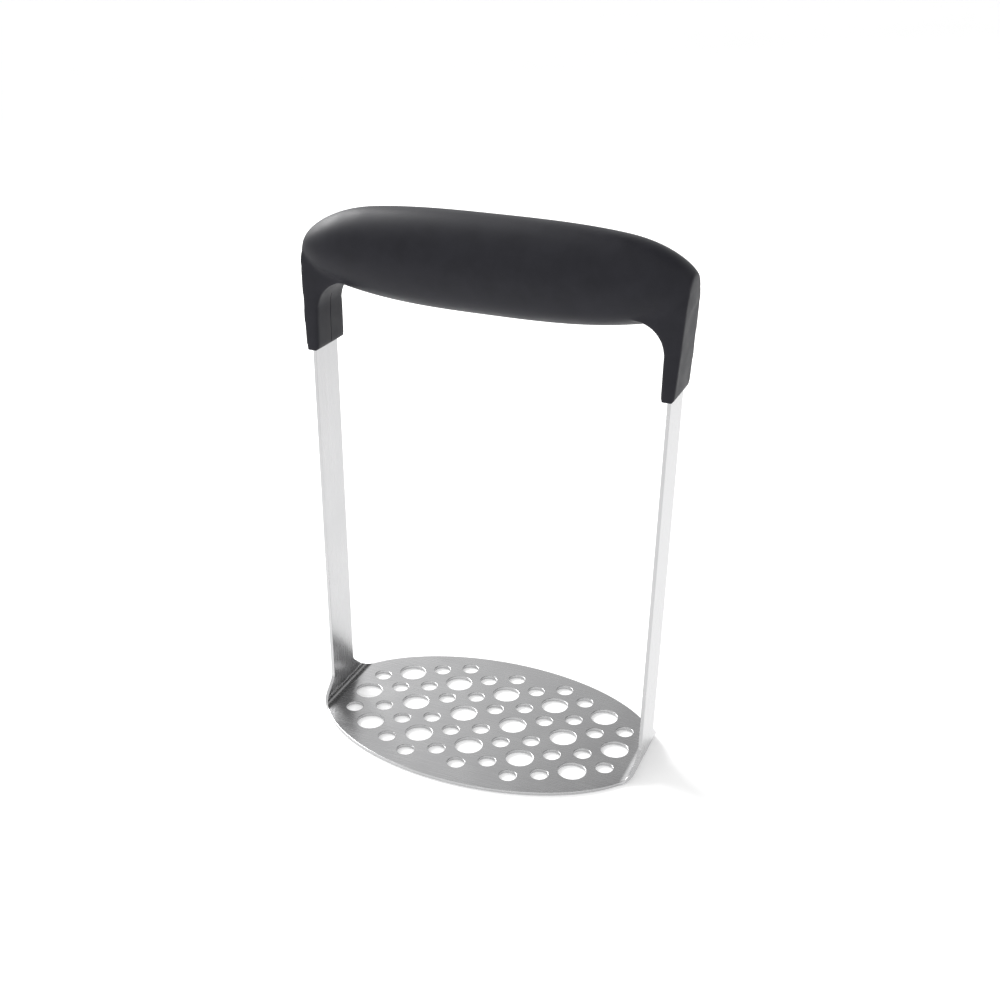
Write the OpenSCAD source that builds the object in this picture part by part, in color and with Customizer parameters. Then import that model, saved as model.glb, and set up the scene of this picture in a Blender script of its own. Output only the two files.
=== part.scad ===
// Potato masher: an oval perforated steel plate on two straps, with a crosswise soft grip.
// X runs from strap to strap, Y across the plate, Z up. The origin is the middle of the
// plate's underside, so the tool stands on z = 0.

/* [Plate] */
// How far the oval's ends would reach past the straps' inner faces on the flat sheet
oval_reach = 3.9; // [3:0.1:8]
// Width of the oval
plate_w = 77.6; // [66:0.2:96]
// Thickness of the steel sheet
sheet_t = 1.2; // [0.8:0.1:2]

/* [Holes] */
// Diameter of the large holes
big_hole_d = 9.5; // [7:0.1:11]
// Diameter of the small holes
small_hole_d = 6; // [4:0.1:7]
// Distance from one large hole to the next along a row
hole_pitch = 19; // [17:0.5:24]
// Distance between the rows of large holes
hole_row_gap = 17.6; // [16:0.2:22]
// Offset of the small holes in line with a large hole of their row
small_over_big = 10.9; // [10:0.1:12]
// Offset of the small holes in line with a gap between large holes
small_over_gap = 6.1; // [5.5:0.1:7]
// Steel left between a hole and the edge of the oval
hole_rim = 2.5; // [1.5:0.1:5]

/* [Straps] */
// Distance between the straps' inner faces, at the top of the plate
strap_gap = 115.2; // [104:0.2:134]
// Width of a strap
strap_w = 14.6; // [11:0.2:17]
// Outward lean of the straps in degrees
strap_lean = 0.8; // [0:0.1:2]
// Inner radius of the bend between plate and strap
bend_r = 3; // [2:0.5:8]
// How far inside the straps' inner faces the oval gives way to straight shoulders
shoulder_in = 4.6; // [3:0.1:10]
// Radius of the corner between a shoulder and the strap's edge, on the flat sheet
shoulder_r = 3; // [1:0.5:8]

/* [Grip] */
// Rubber over the outer face of a strap at the height of the barrel's axis
grip_end_t = 2.6; // [2.2:0.1:6]
// Thickness of the grip's barrel in the middle
grip_d = 29.4; // [26:0.2:36]
// How much thinner the barrel is at its ends
grip_taper = 9.5; // [5:0.5:11]
// Length of the barrel's domed ends
nose_l = 13; // [10:0.5:18]
// Radius of the grip's upper outer corner over a socket
end_r = 9; // [6:0.5:12]
// Height of the barrel's axis above the plate's underside
grip_z = 167; // [130:1:220]
// Depth of the sockets' lower edge below the barrel's axis
socket_drop = 33; // [26:1:50]
// Rubber over each edge of a strap
socket_side_t = 2; // [1:0.1:3]
// Rubber on the inner face of the strap at the socket's lower edge
socket_in_t = 1.5; // [1:0.1:3]
// Rubber on the outer face of the strap at the socket's lower edge
socket_out_t = 1.1; // [0.8:0.1:2]
// Radius of the hollow between a socket and the barrel
socket_fillet = 9.5; // [5:0.5:11]
// Radius of a socket's upright outer edges
socket_edge_r = 5; // [2:0.5:6]

/* [Core] */
// Thickness of the soft grip over the core
skin_t = 3; // [2:0.1:4]
// Wall of the hollow core
core_wall = 2.4; // [1.6:0.1:3]
// Length of the solid block at each end of the core
core_end = 14; // [12:0.5:18]
// Height of the joint between core body and lid above the barrel's axis
core_split = 3.5; // [3:0.1:5]
// Depth of the lid's locating lip
lip_h = 2; // [1:0.1:3]
// Clearance round the locating lip
lip_gap = 0.15; // [0.05:0.05:0.3]
// Number of stiffening ribs in the core body
rib_count = 3; // [1:1:5]
// Thickness of a rib
rib_t = 1.6; // [1:0.1:3]

/* [Rivets] */
// Diameter of a rivet's shank
rivet_d = 4; // [3:0.1:4.5]
// Length of a rivet's shank
rivet_l = 12; // [8:0.5:12]
// Diameter of a rivet's head
rivet_head_d = 7; // [6:0.1:9]
// Height of a rivet's head
rivet_head_h = 0.9; // [0.6:0.1:1.2]
// Steel of the strap above the middle of the rivet
strap_over_rivet = 5; // [4:0.5:6]

/* [Hidden] */
steel = "#c9cacc";
rubber = "#303036";
plastic = "#8f8f8a";
$fn = 96;

// Half axes of the oval
plate_a = strap_gap / 2 + oval_reach;
plate_b = plate_w / 2;

// Half width of the oval at a place x
function oval_half(x) = plate_b * sqrt(max(0, 1 - pow(x / plate_a, 2)));

// A shoulder runs straight on from the oval at the oval's slope, and the corner's arc leads
// it into the strap's edge between corner_x and corner_end_x, all on the flat sheet
shoulder_x = strap_gap / 2 - shoulder_in;
shoulder_y = oval_half(shoulder_x);
shoulder_slope = atan(pow(plate_b / plate_a, 2) * shoulder_x / shoulder_y);
corner_drop = shoulder_y - strap_w / 2 - shoulder_r * (1 - cos(shoulder_slope));
corner_x = shoulder_x + corner_drop / tan(shoulder_slope);
corner_end_x = corner_x + shoulder_r * sin(shoulder_slope);

// Half width of the flat blank at a place x past the middle
function blank_half(x) =
    x < shoulder_x ? oval_half(x)
    : x < corner_x ? shoulder_y - (x - shoulder_x) * tan(shoulder_slope)
    : x < corner_end_x
        ? strap_w / 2 + shoulder_r - sqrt(max(0, pow(shoulder_r, 2) - pow(corner_end_x - x, 2)))
    : strap_w / 2;

// Where the bend starts, the angle it turns through, and its length on the flat blank
bend_x = strap_gap / 2 - bend_r * (cos(strap_lean) - (1 - sin(strap_lean)) * tan(strap_lean));
bend_turn = 90 - strap_lean;
bend_len = (bend_r + sheet_t / 2) * bend_turn * PI / 180;

// The web is the stretch of sheet that holds the bend and the shoulders. It starts a lap
// inside the flat oval, and the strap starts a lap inside the web
lap = 1;
web_len = max(bend_len, corner_end_x - bend_x) + 2 * lap;
web_steps = 30;
// A point [x, z] of the web at a distance u past the start of the bend, at a depth d
// below its inner face
function web_point(u, d) =
    let(turn = max(0, min(u / bend_len, 1)) * bend_turn, r = bend_r + d,
        before = min(0, u), past = max(0, u - bend_len))
    [bend_x + before + r * sin(turn) + past * sin(strap_lean),
     sheet_t + bend_r - r * cos(turn) + past * cos(strap_lean)];

// Distance along the strap, from the top of the plate, of a point at height z
function strap_s(z) = (z - sheet_t) / cos(strap_lean);
strap_start_s = strap_s(web_point(web_len - lap, 0)[1]);
rivet_s = strap_s(grip_z);
strap_end_s = rivet_s + strap_over_rivet;
// Place of the strap's inner face at height z
function strap_x(z) = strap_gap / 2 + (z - sheet_t) * tan(strap_lean);

// The barrel's outline: a slow cubic taper, then a quarter ellipse at each end
grip_half = strap_x(grip_z) + sheet_t + grip_end_t;
grip_l = 2 * grip_half;
barrel_x = grip_half - nose_l;
barrel_steps = 24;
nose_steps = 12;
function barrel_r(x) = (grip_d - grip_taper * pow(abs(x) / grip_half, 3)) / 2;

// The sockets' side view, and their size across the strap
socket_z = grip_z - socket_drop;
socket_w = strap_w + 2 * socket_side_t;
socket_in_x = strap_x(socket_z) - socket_in_t;
socket_out_x = strap_x(socket_z) + sheet_t + socket_out_t;
underside_z = grip_z - sqrt(pow(barrel_r(socket_in_x - socket_fillet), 2) - pow(socket_w / 2, 2));
fillet_steps = 8;

// Overhang of a cut past the face it opens
cut = 1;

// The children are drawn at the right-hand strap and mirrored to the left one
module both_ends() {
    children();
    mirror([1, 0, 0]) children();
}

// The children's X points outwards through the strap from its inner face, and their Z
// runs up along it from the top of the plate
module on_strap() {
    translate([strap_gap / 2, 0, sheet_t])
        rotate([0, strap_lean, 0])
            children();
}

// A slab across the whole grip, between two heights over the barrel's axis
module slab(low, high) {
    translate([-grip_l, -grip_d, grip_z + low])
        cube([2 * grip_l, 2 * grip_d, high - low]);
}

module flat_oval() {
    arc_p = acos(min(shoulder_x, bend_x) / plate_a);
    steps = 60;
    arc = [for (i = [0 : steps])
        let(p = arc_p + (180 - 2 * arc_p) * i / steps)
        [plate_a * cos(p), plate_b * sin(p)]];
    end_y = blank_half(bend_x);
    side = shoulder_x < bend_x ? concat([[bend_x, end_y]], arc, [[-bend_x, end_y]]) : arc;
    linear_extrude(sheet_t)
        polygon(concat(side, [for (p = side) -p]));
}

// The sheet's rectangular section swept round the bend, narrowing from oval to strap
module web() {
    stations = concat([-lap], [for (i = [0 : web_steps]) web_len * i / web_steps]);
    rings = [for (u = stations)
        let(half = blank_half(bend_x + max(0, u)),
            inner = web_point(u, 0), outer = web_point(u, sheet_t))
        [[inner[0], half, inner[1]], [inner[0], -half, inner[1]],
         [outer[0], -half, outer[1]], [outer[0], half, outer[1]]]];
    sides = [for (i = [0 : web_steps]) for (j = [0 : 3])
        let(a = 4 * i + j, b = 4 * i + (j + 1) % 4)
        for (face = [[a, a + 4, b], [b, a + 4, b + 4]]) face];
    last = 4 * (web_steps + 1);
    polyhedron([for (ring = rings) for (p = ring) p],
               concat(sides, [[0, 1, 2, 3], [last + 3, last + 2, last + 1, last]]));
}

module strap() {
    on_strap()
        translate([0, -strap_w / 2, strap_start_s])
            cube([sheet_t, strap_w, strap_end_s - strap_start_s]);
}

// True where a hole of radius r at x, y leaves the rim of the oval whole
function hole_fits(x, y, r) =
    pow(x / (plate_a - r - hole_rim), 2) + pow(y / (plate_b - r - hole_rim), 2) <= 1;

// A row of equal holes across the plate, shifted by a share of the pitch
module hole_row(y, shift, d) {
    reach = ceil(plate_a / hole_pitch);
    for (i = [-reach : reach])
        let(x = (i + shift) * hole_pitch)
            if (hole_fits(x, y, d / 2))
                translate([x, y, -cut])
                    cylinder(d = d, h = sheet_t + 2 * cut, $fn = 48);
}

module holes() {
    hole_row(0, 0.5, big_hole_d);
    for (side = [-1, 1]) {
        hole_row(side * hole_row_gap, 0, big_hole_d);
        for (way = [-1, 1]) {
            hole_row(side * (hole_row_gap + way * small_over_big), 0, small_hole_d);
            hole_row(side * (hole_row_gap + way * small_over_gap), 0.5, small_hole_d);
        }
    }
}

module rivet_shank(from = sheet_t - rivet_l, to = sheet_t) {
    on_strap()
        translate([from, 0, rivet_s])
            rotate([0, 90, 0])
                cylinder(d = rivet_d, h = to - from);
}

module rivet_head() {
    on_strap()
        translate([sheet_t, 0, rivet_s])
            rotate([0, 90, 0])
                cylinder(d = rivet_head_d, h = rivet_head_h);
}

module masher_plate() {
    color(steel)
        difference() {
            union() {
                flat_oval();
                both_ends() {
                    web();
                    strap();
                }
            }
            holes();
            both_ends() rivet_shank(-cut, sheet_t + cut);
        }
}

// The barrel shrunk all round by an inset, as a solid of revolution about its axis
module barrel(inset = 0) {
    side = [for (i = [0 : barrel_steps])
        let(x = (2 * i / barrel_steps - 1) * barrel_x)
        [barrel_r(x) - inset, x]];
    nose = [for (i = [1 : nose_steps])
        let(p = 90 * i / nose_steps)
        [(barrel_r(barrel_x) - inset) * cos(p), barrel_x + (nose_l - inset) * sin(p)]];
    foot = [for (i = [nose_steps - 1 : -1 : 0]) [nose[i][0], -nose[i][1]]];
    translate([0, 0, grip_z])
        rotate([0, 90, 0])
            rotate_extrude()
                polygon(concat(foot, side, nose));
}

// The core's outside: the barrel under its skin, cut off flush with the straps
module core() {
    difference() {
        barrel(skin_t);
        both_ends()
            on_strap()
                translate([0, -grip_d, 0])
                    cube([grip_d, 2 * grip_d, grip_z + 2 * grip_d]);
    }
}

// The hollow of the core, shrunk all round by a gap
module core_hollow(gap = 0) {
    half = strap_x(grip_z) - core_end - gap;
    intersection() {
        barrel(skin_t + core_wall + gap);
        translate([-half, -grip_d, grip_z - grip_d])
            cube([2 * half, 2 * grip_d, 2 * grip_d]);
    }
}

// Cross ribs, spread evenly along the hollow and ending under the lid's tongue
module ribs() {
    span = 2 * (strap_x(grip_z) - core_end);
    for (i = [1 : rib_count])
        translate([(i / (rib_count + 1) - 0.5) * span - rib_t / 2, -grip_d, grip_z - grip_d])
            cube([rib_t, 2 * grip_d, grip_d + core_split - lip_h - lip_gap]);
}

module core_body() {
    color(plastic)
        difference() {
            intersection() {
                core();
                slab(-grip_d, core_split);
            }
            difference() {
                core_hollow();
                ribs();
            }
            both_ends() rivet_shank();
        }
}

// The lid's tongue stands inside the walls of the core body, with a root in the lid
module tongue() {
    difference() {
        union() {
            intersection() {
                core_hollow(lip_gap);
                slab(core_split - lip_h, core_split);
            }
            intersection() {
                core_hollow();
                slab(core_split, core_split + core_wall / 2);
            }
        }
        core_hollow(lip_gap + core_wall / 2);
    }
}

module core_lid() {
    color(plastic)
        union() {
            difference() {
                intersection() {
                    core();
                    slab(core_split, grip_d);
                }
                core_hollow();
            }
            tongue();
        }
}

module strap_rivets() {
    color(steel)
        both_ends() {
            rivet_shank();
            rivet_head();
        }
}

// Side view of a socket, with the hollow that leads into the barrel's underside and the
// round corner over the strap
module socket_side() {
    hollow = [for (i = [0 : fillet_steps])
        let(p = 90 * i / fillet_steps)
        [socket_in_x - socket_fillet * (1 - cos(p)),
         underside_z - socket_fillet * (1 - sin(p))]];
    corner = [for (i = [0 : fillet_steps])
        let(p = 90 * i / fillet_steps)
        [grip_half - end_r * (1 - sin(p)), grip_z + end_r * cos(p)]];
    polygon(concat([[socket_out_x, socket_z], [socket_in_x, socket_z]], hollow,
                   [[socket_in_x - socket_fillet, grip_z]], corner));
}

// End view of a socket: straight sides that close in a round top under the barrel's
module socket_end() {
    translate([-socket_w / 2, socket_z])
        square([socket_w, grip_z - socket_z]);
    translate([0, grip_z])
        circle(d = socket_w);
}

// Plan view of a socket, round at its two outer edges
module socket_plan() {
    edge_x = grip_half - socket_edge_r;
    edge_y = socket_w / 2 - socket_edge_r;
    translate([0, -socket_w / 2])
        square([edge_x, socket_w]);
    translate([0, -edge_y])
        square([grip_half, 2 * edge_y]);
    for (side = [-1, 1])
        translate([edge_x, side * edge_y])
            circle(r = socket_edge_r);
}

module socket() {
    intersection() {
        rotate([90, 0, 0])
            linear_extrude(socket_w, center = true)
                socket_side();
        linear_extrude(grip_z + socket_w)
            socket_plan();
        rotate([90, 0, 90])
            linear_extrude(grip_l)
                socket_end();
    }
}

module soft_grip() {
    color(rubber)
        difference() {
            union() {
                barrel();
                both_ends() socket();
            }
            core();
            both_ends() {
                strap();
                rivet_head();
            }
        }
}

masher_plate();
core_body();
core_lid();
strap_rivets();
soft_grip();
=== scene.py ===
"""The looks of the potato masher: a satin steel sheet, bent and punched, and a moulded soft grip.

The steel sheet and the grip are modelled here in place of their plain frame solids. The core and the
rivets inside the grip keep their frame solids and get their own finishes.
"""
from math import atan, cos, pi, radians, sin, sqrt, tan

import bpy
from mathutils import Matrix, Vector


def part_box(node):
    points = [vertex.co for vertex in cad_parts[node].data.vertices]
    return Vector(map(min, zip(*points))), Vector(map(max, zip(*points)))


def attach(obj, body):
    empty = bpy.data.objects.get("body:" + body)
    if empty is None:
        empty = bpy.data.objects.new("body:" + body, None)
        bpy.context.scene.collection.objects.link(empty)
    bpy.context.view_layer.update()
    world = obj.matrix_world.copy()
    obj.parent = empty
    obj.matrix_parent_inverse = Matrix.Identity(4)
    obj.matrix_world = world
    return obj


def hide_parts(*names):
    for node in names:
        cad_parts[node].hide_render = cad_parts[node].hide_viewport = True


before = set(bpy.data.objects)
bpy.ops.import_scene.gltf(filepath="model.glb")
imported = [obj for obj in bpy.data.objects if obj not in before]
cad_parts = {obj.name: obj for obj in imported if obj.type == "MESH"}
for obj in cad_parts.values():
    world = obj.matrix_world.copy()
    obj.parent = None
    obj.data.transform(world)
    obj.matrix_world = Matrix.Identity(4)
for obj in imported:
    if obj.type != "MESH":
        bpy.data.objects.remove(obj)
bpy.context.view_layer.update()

MM = 0.001

# The sheet
SHEET_T = 1.2 * MM
OVAL_A = 61.5 * MM
OVAL_B = 38.8 * MM
STRAP_W = 14.6 * MM
STRAP_LEAN = radians(0.8)
STRAP_X = 57.6 * MM          # inner face of the strap at the plate's top
BEND_R = 3 * MM              # inner radius
SHOULDER_X = 53 * MM         # the oval gives way to straight shoulders
CORNER_R = 3 * MM            # between a shoulder and the strap's edge
STRAP_END_Z = 162 * MM       # inside the grip

# The holes
BIG_R = 4.75 * MM
SMALL_R = 3 * MM
PITCH = 19 * MM
ROW_GAP = 17.6 * MM
OVER_BIG = 10.9 * MM
OVER_GAP = 6.1 * MM
HOLE_RIM = 2.5 * MM
EDGE_ROUND = 0.16 * MM       # along every cut edge of the sheet

# The grip
GRIP_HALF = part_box("soft_grip")[1][0]
GRIP_Z = 167 * MM
SOCKET_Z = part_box("soft_grip")[0][2]
SOCKET_LOW_HALF = 9.5 * MM   # half width at the lower edge
SOCKET_HALF = 8.4 * MM       # half width beside the barrel
SOCKET_IN_X = 57.6 * MM
SOCKET_LOW_X = 61.8 * MM     # outer face at the lower edge
SOCKET_OUT_X = 63.6 * MM     # outer face beside the barrel
SHOULDER_Z = 164 * MM        # the outer face rounds inwards above this
HOLLOW_R = 10 * MM
HOLLOW_Z = 157.5 * MM        # where the hollow meets the barrel's underside
ARCH_Z = 161.6 * MM          # the socket's round top starts here
ARCH_TOP = 170.8 * MM
SHOULDER_ROUND = 3 * MM      # how far the outer face has rounded inwards at the arch's top
SLOT_GAP = 0.1 * MM          # across the sheet, and at each edge of the strap
SLOT_DEPTH = 27 * MM         # above the socket's lower edge
SEAM_W = 0.3 * MM            # the parting line
SEAM_DEPTH = 0.25 * MM
SEAM_TOP = 21 * MM           # above the socket's lower edge
CUT = 3 * MM                 # overhang of a cut past the face it opens


# ---------------------------------------------------------------- small helpers

def deselect_all():
    if bpy.context.object and bpy.context.object.mode != "OBJECT":
        bpy.ops.object.mode_set(mode="OBJECT")
    bpy.ops.object.select_all(action="DESELECT")


def make_active(obj):
    deselect_all()
    obj.select_set(True)
    bpy.context.view_layer.objects.active = obj


def edit(obj):
    """Opens a piece in edit mode with nothing selected."""
    make_active(obj)
    bpy.ops.object.mode_set(mode="EDIT")
    bpy.ops.mesh.select_mode(type="VERT")
    bpy.ops.mesh.select_all(action="DESELECT")


def select_verts(obj, test):
    """Selects in edit mode just the vertices whose place passes the test."""
    bpy.ops.object.mode_set(mode="OBJECT")
    for v in obj.data.vertices:
        v.select = test(v.co)
    for e in obj.data.edges:
        e.select = all(obj.data.vertices[i].select for i in e.vertices)
    for f in obj.data.polygons:
        f.select = all(obj.data.vertices[i].select for i in f.vertices)
    bpy.ops.object.mode_set(mode="EDIT")


def done(obj):
    """Leaves edit mode and puts the object's own place into its mesh."""
    make_active(obj)
    bpy.ops.object.transform_apply(location=True, rotation=True, scale=True)
    return obj


def apply_modifier(obj, kind, **settings):
    make_active(obj)
    m = obj.modifiers.new(kind.lower(), kind)
    for key, value in settings.items():
        setattr(m, key, value)
    bpy.ops.object.modifier_apply(modifier=m.name)


def join(objects, name):
    deselect_all()
    for o in objects:
        o.select_set(True)
    bpy.context.view_layer.objects.active = objects[0]
    bpy.ops.object.join()
    joined = bpy.context.object
    joined.name = name
    return joined


def cut_away(obj, cutter):
    apply_modifier(obj, "BOOLEAN", operation="DIFFERENCE", solver="EXACT", object=cutter)
    bpy.data.objects.remove(cutter, do_unlink=True)


# ---------------------------------------------------------------- camera

def add_camera():
    """A portrait lens from the front right, above the grip."""
    azimuth, elevation, roll = radians(21.74), radians(24.65), radians(0.89)
    back = Vector((sin(azimuth) * cos(elevation), -cos(azimuth) * cos(elevation), sin(elevation)))
    level = Vector((cos(azimuth), sin(azimuth), 0))
    right = cos(roll) * level + sin(roll) * back.cross(level)
    up = back.cross(right)
    aim = Vector((-9.23, 31.54, 72.5)) * MM
    distance = 485.8 * MM
    cam = bpy.data.cameras.new("camera")
    cam.sensor_width = 36
    cam.lens = 48.81
    cam.clip_start = 0.01
    obj = bpy.data.objects.new("camera", cam)
    rotation = Matrix((right, up, back)).transposed().to_4x4()
    obj.matrix_world = Matrix.Translation(aim + back * distance) @ rotation
    bpy.context.scene.collection.objects.link(obj)
    bpy.context.scene.camera = obj


# ---------------------------------------------------------------- steel sheet

def oval_half(x):
    return OVAL_B * sqrt(max(0, 1 - (x / OVAL_A) ** 2))


SHOULDER_Y = oval_half(SHOULDER_X)
SLOPE = atan((OVAL_B / OVAL_A) ** 2 * SHOULDER_X / SHOULDER_Y)
CORNER_X = SHOULDER_X + (SHOULDER_Y - STRAP_W / 2 - CORNER_R * (1 - cos(SLOPE))) / tan(SLOPE)
CORNER_END = CORNER_X + CORNER_R * sin(SLOPE)
OUTER_R = BEND_R + SHEET_T
BEND_X = STRAP_X - BEND_R * (cos(STRAP_LEAN) - (1 - sin(STRAP_LEAN)) * tan(STRAP_LEAN))
BEND_LEN = (BEND_R + SHEET_T / 2) * (pi / 2 - STRAP_LEAN)


def blank_half(x):
    """Half width of the flat blank at x: oval, straight shoulder, corner, strap."""
    if x < SHOULDER_X:
        return oval_half(x)
    if x < CORNER_X:
        return SHOULDER_Y - (x - SHOULDER_X) * tan(SLOPE)
    if x < CORNER_END:
        return STRAP_W / 2 + CORNER_R - sqrt(CORNER_R ** 2 - (CORNER_END - x) ** 2)
    return STRAP_W / 2


def outer_point(u):
    """The underside of the sheet at a distance u past the start of the bend."""
    turn = min(u / BEND_LEN, 1) * (pi / 2 - STRAP_LEAN)
    past = max(0, u - BEND_LEN)
    return Vector((BEND_X + OUTER_R * sin(turn) + past * sin(STRAP_LEAN),
                   OUTER_R - OUTER_R * cos(turn) + past * cos(STRAP_LEAN)))


def pull_strap(obj, side):
    """Extrudes one cut end of the oval round the bend, along the shoulders and up the strap."""
    select_verts(obj, lambda co: abs(co.x - side * BEND_X) < 1e-5)
    stations = [BEND_LEN * i / 16 for i in range(17)]
    corner, corner_end = CORNER_X - BEND_X, CORNER_END - BEND_X
    stations += [corner + (corner_end - corner) * i / 8 for i in range(9)]
    stations.append(BEND_LEN + (STRAP_END_Z - outer_point(BEND_LEN).y) / cos(STRAP_LEAN))
    half = oval_half(BEND_X)
    for a, b in zip(stations, stations[1:]):
        step = outer_point(b) - outer_point(a)
        bpy.ops.mesh.extrude_region_move(
            TRANSFORM_OT_translate={"value": (side * step.x, 0, step.y)})
        bpy.ops.transform.resize(value=(1, blank_half(BEND_X + b) / half, 1))
        half = blank_half(BEND_X + b)


def hole_places():
    """Rows of big holes, with small holes above and below each big one and each gap."""
    rows = [(0, 0.5, BIG_R)]
    for side in (-1, 1):
        rows.append((side * ROW_GAP, 0, BIG_R))
        for way in (-1, 1):
            rows.append((side * (ROW_GAP + way * OVER_BIG), 0, SMALL_R))
            rows.append((side * (ROW_GAP + way * OVER_GAP), 0.5, SMALL_R))
    for y, shift, r in rows:
        for i in range(-4, 5):
            x = (i + shift) * PITCH
            if (x / (OVAL_A - r - HOLE_RIM)) ** 2 + (y / (OVAL_B - r - HOLE_RIM)) ** 2 <= 1:
                yield x, y, r


def punches():
    """Straight pins that punch every hole."""
    pins = []
    for x, y, r in hole_places():
        bpy.ops.mesh.primitive_cylinder_add(vertices=56, radius=r, depth=8 * SHEET_T,
                                            location=(x, y, SHEET_T / 2))
        pins.append(bpy.context.object)
    return done(join(pins, "punches"))


def make_sheet():
    deselect_all()
    bpy.ops.mesh.primitive_circle_add(vertices=180, radius=1, fill_type="NGON", location=(0, 0, 0))
    sheet = bpy.context.object
    sheet.name = "plate_and_straps"
    edit(sheet)
    bpy.ops.mesh.select_all(action="SELECT")
    bpy.ops.transform.resize(value=(OVAL_A, OVAL_B, 1))
    for side in (-1, 1):
        bpy.ops.mesh.select_all(action="SELECT")
        bpy.ops.mesh.bisect(plane_co=(side * BEND_X, 0, 0), plane_no=(side, 0, 0), clear_outer=True)
    for side in (-1, 1):
        pull_strap(sheet, side)
    bpy.ops.mesh.select_all(action="SELECT")
    bpy.ops.mesh.normals_make_consistent(inside=False)
    done(sheet)
    up = sheet.data.polygons[0].normal.z > 0
    apply_modifier(sheet, "SOLIDIFY", thickness=SHEET_T, offset=1 if up else -1, use_even_offset=True)
    cut_away(sheet, punches())
    apply_modifier(sheet, "BEVEL", width=EDGE_ROUND, segments=2, limit_method="ANGLE",
                   angle_limit=radians(40))
    make_active(sheet)
    bpy.ops.object.shade_smooth_by_angle(angle=radians(15))
    return sheet


# ---------------------------------------------------------------- soft grip

def swell(x, middle, taper, nose, tip, power):
    """The barrel's size at x, from millimetres: a slow cubic taper, then a blunt round nose."""
    size = (middle - taper * (abs(x) / GRIP_HALF) ** 3) * MM
    k = max(0, (abs(x) - nose * MM) / ((tip - nose) * MM))
    return size * (1 - k ** power) ** (1 / power)


def barrel_ring(x):
    """Half depth, half height and centre height of the barrel at x."""
    deep = swell(x, middle=14.5, taper=5, nose=47, tip=66, power=3)
    top = swell(x, middle=15.5, taper=5.5, nose=40, tip=65, power=2.5)
    bottom = swell(x, middle=15.5, taper=7.5, nose=54, tip=66, power=2.5)
    return deep, (top + bottom) / 2, GRIP_Z + (top - bottom) / 2


def make_barrel():
    """A disc pulled along the grip, sized anew at each station."""
    half_steps = 34
    ends = [GRIP_HALF * sin(pi / 2 * i / half_steps) for i in range(half_steps + 1)]
    stations = [-x for x in reversed(ends)] + ends[1:]
    first = stations[0]
    deep, high, z = barrel_ring(first)
    bpy.ops.mesh.primitive_circle_add(vertices=72, radius=1, fill_type="NGON", location=(first, 0, z),
                                      rotation=(0, pi / 2, 0))
    barrel = bpy.context.object
    done(barrel)
    edit(barrel)
    bpy.ops.mesh.select_all(action="SELECT")
    bpy.ops.transform.resize(value=(1, deep, high))
    for a, b in zip(stations, stations[1:]):
        deep_a, high_a, z_a = barrel_ring(a)
        deep_b, high_b, z_b = barrel_ring(b)
        bpy.ops.mesh.extrude_region_move(TRANSFORM_OT_translate={"value": (b - a, 0, z_b - z_a)})
        bpy.ops.transform.resize(value=(1, deep_b / deep_a, high_b / high_a))
    return done(barrel)


def socket_ring(z):
    """Inner x, outer x and half width of a socket at height z."""
    low = HOLLOW_Z - HOLLOW_R
    up = min(max(0, (z - low) / HOLLOW_R), 1)
    inner = SOCKET_IN_X - HOLLOW_R * (1 - sqrt(1 - up ** 2))
    rise = min(1, (z - SOCKET_Z) / (SHOULDER_Z - SOCKET_Z))
    outer = SOCKET_LOW_X + (SOCKET_OUT_X - SOCKET_LOW_X) * rise ** 0.8
    over = max(0, (z - SHOULDER_Z) / (ARCH_TOP - SHOULDER_Z))
    outer -= SHOULDER_ROUND * (1 - sqrt(1 - over ** 2))
    arch = max(0, (z - ARCH_Z) / (ARCH_TOP - ARCH_Z))
    return inner, outer, (SOCKET_LOW_HALF + (SOCKET_HALF - SOCKET_LOW_HALF) * rise) * sqrt(1 - arch ** 2)


def make_socket(side):
    """A rectangle pulled up from the socket's lower edge, through the hollow, to its round top."""
    low = HOLLOW_Z - HOLLOW_R
    heights = [SOCKET_Z + (low - SOCKET_Z) * i / 8 for i in range(9)]
    heights += [low + HOLLOW_R * sin(pi / 2 * i / 14) for i in range(1, 15)]
    heights += [ARCH_Z + (ARCH_TOP - ARCH_Z) * sin(pi / 2 * i / 15) for i in range(15)]
    inner, outer, half = socket_ring(heights[0])
    bpy.ops.mesh.primitive_plane_add(size=1, location=(side * (inner + outer) / 2, 0, heights[0]))
    socket = bpy.context.object
    edit(socket)
    bpy.ops.mesh.select_all(action="SELECT")
    bpy.ops.transform.resize(value=(outer - inner, 2 * half, 1))
    for a, b in zip(heights, heights[1:]):
        inner_a, outer_a, half_a = socket_ring(a)
        inner_b, outer_b, half_b = socket_ring(b)
        shift = side * (inner_b + outer_b - inner_a - outer_a) / 2
        bpy.ops.mesh.extrude_region_move(TRANSFORM_OT_translate={"value": (shift, 0, b - a)})
        bpy.ops.transform.resize(value=((outer_b - inner_b) / (outer_a - inner_a), half_b / half_a, 1))
    return done(socket)


def add_box(size, place, turn=0):
    bpy.ops.mesh.primitive_cube_add(size=1, location=place, rotation=(0, turn, 0))
    bpy.context.object.scale = size
    return done(bpy.context.object)


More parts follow.
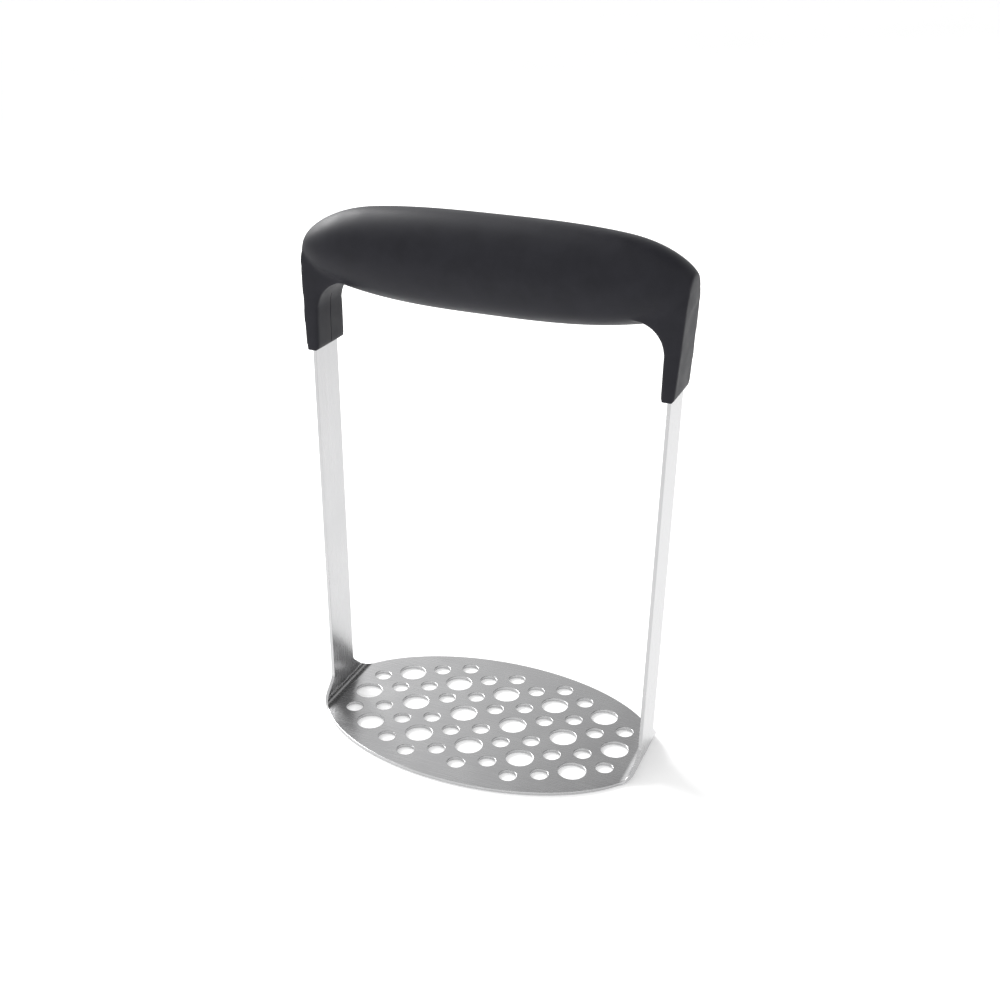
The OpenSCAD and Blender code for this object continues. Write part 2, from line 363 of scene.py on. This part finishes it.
def grip_cutters():
    """Slots for the straps, and the parting line down each socket's inner face."""
    cutters = []
    for side in (-1, 1):
        z = SOCKET_Z + (SLOT_DEPTH - CUT) / 2
        x = STRAP_X + SHEET_T / 2 + (z - SHEET_T) * tan(STRAP_LEAN)
        slot = (SHEET_T + SLOT_GAP, STRAP_W + 2 * SLOT_GAP, SLOT_DEPTH + CUT)
        cutters.append(add_box(slot, (side * x, 0, z), side * STRAP_LEAN))
        z = SOCKET_Z + (SEAM_TOP - CUT) / 2
        x = SOCKET_IN_X - SEAM_DEPTH
        cutters.append(add_box((4 * SEAM_DEPTH, SEAM_W, SEAM_TOP + CUT), (side * x, 0, z)))
    return done(join(cutters, "grip_cutters"))


def make_grip():
    """Barrel and sockets melted into one moulding, then slotted for the straps."""
    grip = join([make_barrel(), make_socket(-1), make_socket(1)], "grip")
    edit(grip)
    bpy.ops.mesh.select_all(action="SELECT")
    bpy.ops.mesh.normals_make_consistent(inside=False)
    done(grip)
    apply_modifier(grip, "REMESH", mode="VOXEL", voxel_size=0.5 * MM, adaptivity=0)
    apply_modifier(grip, "SMOOTH", factor=0.5, iterations=16)
    cut_away(grip, grip_cutters())
    make_active(grip)
    bpy.ops.object.shade_smooth_by_angle(angle=radians(35))
    return grip


# ---------------------------------------------------------------- materials

class Look:
    """A node material under construction: short calls that add nodes and join them."""

    def __init__(self, name):
        self.material = bpy.data.materials.new(name)
        self.material.use_nodes = True
        self.nodes = self.material.node_tree.nodes
        self.links = self.material.node_tree.links
        self.shader = self.nodes["Principled BSDF"]
        self.place = self.nodes.new("ShaderNodeTexCoord").outputs["Object"]

    def join(self, source, target):
        self.links.new(source, target)

    def stretched(self, scale):
        node = self.nodes.new("ShaderNodeMapping")
        node.inputs["Scale"].default_value = scale
        self.join(self.place, node.inputs["Vector"])
        return node.outputs["Vector"]

    def noise(self, where, scale, detail=3.0, roughness=0.5):
        node = self.nodes.new("ShaderNodeTexNoise")
        node.inputs["Scale"].default_value = scale
        node.inputs["Detail"].default_value = detail
        node.inputs["Roughness"].default_value = roughness
        self.join(where, node.inputs["Vector"])
        return node.outputs["Fac"]

    def spread(self, value, low, high, start=0.0, end=1.0):
        node = self.nodes.new("ShaderNodeMapRange")
        node.inputs["From Min"].default_value = start
        node.inputs["From Max"].default_value = end
        node.inputs["To Min"].default_value = low
        node.inputs["To Max"].default_value = high
        self.join(value, node.inputs["Value"])
        return node.outputs["Result"]

    def math(self, operation, a, b):
        node = self.nodes.new("ShaderNodeMath")
        node.operation = operation
        for socket, value in zip(node.inputs, (a, b)):
            if isinstance(value, (int, float)):
                socket.default_value = value
            else:
                self.join(value, socket)
        return node.outputs[0]

    def colours(self, value, stops):
        node = self.nodes.new("ShaderNodeValToRGB")
        ramp = node.color_ramp
        while len(ramp.elements) < len(stops):
            ramp.elements.new(0.5)
        for element, (at, colour) in zip(ramp.elements, stops):
            element.position = at
            element.color = (*colour, 1)
        self.join(value, node.inputs["Fac"])
        return node.outputs["Color"]

    def bump(self, height, strength, distance):
        node = self.nodes.new("ShaderNodeBump")
        node.inputs["Strength"].default_value = strength
        node.inputs["Distance"].default_value = distance
        self.join(height, node.inputs["Height"])
        return node.outputs["Normal"]

    def set(self, **values):
        for name, value in values.items():
            self.shader.inputs[name.replace("_", " ")].default_value = value


def brushed_steel():
    """Satin stainless sheet: fine lines along the blank, cloudy gloss and a faint polish variation."""
    look = Look("brushed_steel")
    lines = look.noise(look.stretched((25, 2600, 25)), 1.0, 4, 0.6)
    fine = look.noise(look.stretched((60, 9000, 60)), 1.0, 2, 0.5)
    clouds = look.noise(look.place, 60, 3)
    grain = look.math("ADD", look.math("MULTIPLY", lines, 0.6), look.math("MULTIPLY", fine, 0.4))
    tone = look.math("ADD", look.math("MULTIPLY", grain, 0.7), look.math("MULTIPLY", clouds, 0.3))
    look.join(look.colours(tone, [(0.25, (0.42, 0.42, 0.425)), (0.75, (0.54, 0.54, 0.545))]),
              look.shader.inputs["Base Color"])
    look.join(look.spread(tone, 0.2, 0.32, 0.3, 0.7), look.shader.inputs["Roughness"])
    look.join(look.bump(grain, 0.25, 0.00004), look.shader.inputs["Normal"])
    look.set(Metallic=1.0)
    return look.material


def grip_rubber():
    """Matt black rubber: a faint mottle and a very fine moulded grain."""
    look = Look("grip_rubber")
    mottle = look.noise(look.place, 140, 4)
    grain = look.noise(look.place, 3200, 2)
    look.join(look.colours(mottle, [(0.3, (0.012, 0.012, 0.016)), (0.7, (0.017, 0.017, 0.022))]),
              look.shader.inputs["Base Color"])
    look.join(look.spread(mottle, 0.44, 0.54, 0.3, 0.7), look.shader.inputs["Roughness"])
    look.join(look.bump(grain, 0.25, 0.00005), look.shader.inputs["Normal"])
    look.set(Specular_IOR_Level=0.17)
    return look.material


def core_plastic():
    """Plain moulded plastic of the hidden core, a little mottled."""
    look = Look("core_plastic")
    mottle = look.noise(look.place, 220, 4)
    look.join(look.colours(mottle, [(0.3, (0.24, 0.24, 0.23)), (0.7, (0.30, 0.30, 0.29))]),
              look.shader.inputs["Base Color"])
    look.join(look.spread(mottle, 0.42, 0.58), look.shader.inputs["Roughness"])
    look.join(look.bump(look.noise(look.place, 2500, 2), 0.2, 0.00005), look.shader.inputs["Normal"])
    return look.material


def rivet_steel():
    """Turned steel of the hidden rivets."""
    look = Look("rivet_steel")
    turned = look.noise(look.stretched((4000, 200, 200)), 1.0, 3)
    look.join(look.colours(turned, [(0.3, (0.45, 0.45, 0.45)), (0.7, (0.6, 0.6, 0.6))]),
              look.shader.inputs["Base Color"])
    look.join(look.spread(turned, 0.25, 0.45), look.shader.inputs["Roughness"])
    look.set(Metallic=1.0)
    return look.material


def give(obj, material):
    obj.data.materials.clear()
    obj.data.materials.append(material)


# ---------------------------------------------------------------- studio

def add_area(name, size, place, aim, power):
    light = bpy.data.lights.new(name, "AREA")
    light.shape = "RECTANGLE"
    light.size, light.size_y = size
    light.energy = power
    obj = bpy.data.objects.new(name, light)
    obj.location = place
    obj.rotation_euler = (Vector(aim) - Vector(place)).to_track_quat("-Z", "Y").to_euler()
    bpy.context.scene.collection.objects.link(obj)


def add_world():
    """An even white room with two dim patches, behind above and to the right, for the steel to show."""
    world = bpy.data.worlds.new("studio")
    world.use_nodes = True
    nodes, links = world.node_tree.nodes, world.node_tree.links
    toward = nodes.new("ShaderNodeTexCoord").outputs["Generated"]
    levels = []
    for direction, edge, middle in (((0.1, 0.6, 0.79), 0.86, 0.95), ((0.75, 0.65, 0.1), 0.84, 0.94)):
        facing = nodes.new("ShaderNodeVectorMath")
        facing.operation = "DOT_PRODUCT"
        facing.inputs[1].default_value = direction
        links.new(toward, facing.inputs[0])
        level = nodes.new("ShaderNodeMapRange")
        level.interpolation_type = "SMOOTHSTEP"
        for name, value in (("From Min", edge), ("From Max", middle), ("To Min", 1), ("To Max", 0.05)):
            level.inputs[name].default_value = value
        links.new(facing.outputs["Value"], level.inputs["Value"])
        levels.append(level.outputs["Result"])
    both = nodes.new("ShaderNodeMath")
    both.operation = "MULTIPLY"
    for source, target in zip(levels, both.inputs):
        links.new(source, target)
    links.new(both.outputs[0], nodes["Background"].inputs["Strength"])
    nodes["Background"].inputs["Color"].default_value = (1, 1, 1, 1)
    bpy.context.scene.world = world


def add_studio():
    deselect_all()
    bpy.ops.mesh.primitive_plane_add(size=30, location=(0, 0, -0.0002))
    floor = bpy.context.object
    floor.name = "floor"
    look = Look("pale_floor")
    look.join(look.colours(look.noise(look.place, 3, 2), [(0, (0.88, 0.88, 0.88)), (1, (0.92, 0.92, 0.92))]),
              look.shader.inputs["Base Color"])
    look.set(Roughness=0.9, Emission_Color=(1, 1, 1, 1), Emission_Strength=0.25)
    give(floor, look.material)
    add_world()
    add_area("key", (0.6, 0.5), (-0.79, 0.39, 0.68), (0, 0, 0.15), 12)
    bpy.context.scene.view_settings.view_transform = "Standard"


# ---------------------------------------------------------------- everything

add_camera()
sheet = make_sheet()
give(sheet, brushed_steel())
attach(sheet, "root")
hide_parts("masher_plate")

grip = make_grip()
give(grip, grip_rubber())
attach(grip, "root")
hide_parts("soft_grip")

plastic = core_plastic()
for node in ("core_body", "core_lid"):
    give(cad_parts[node], plastic)
give(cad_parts["strap_rivets"], rivet_steel())

add_studio()
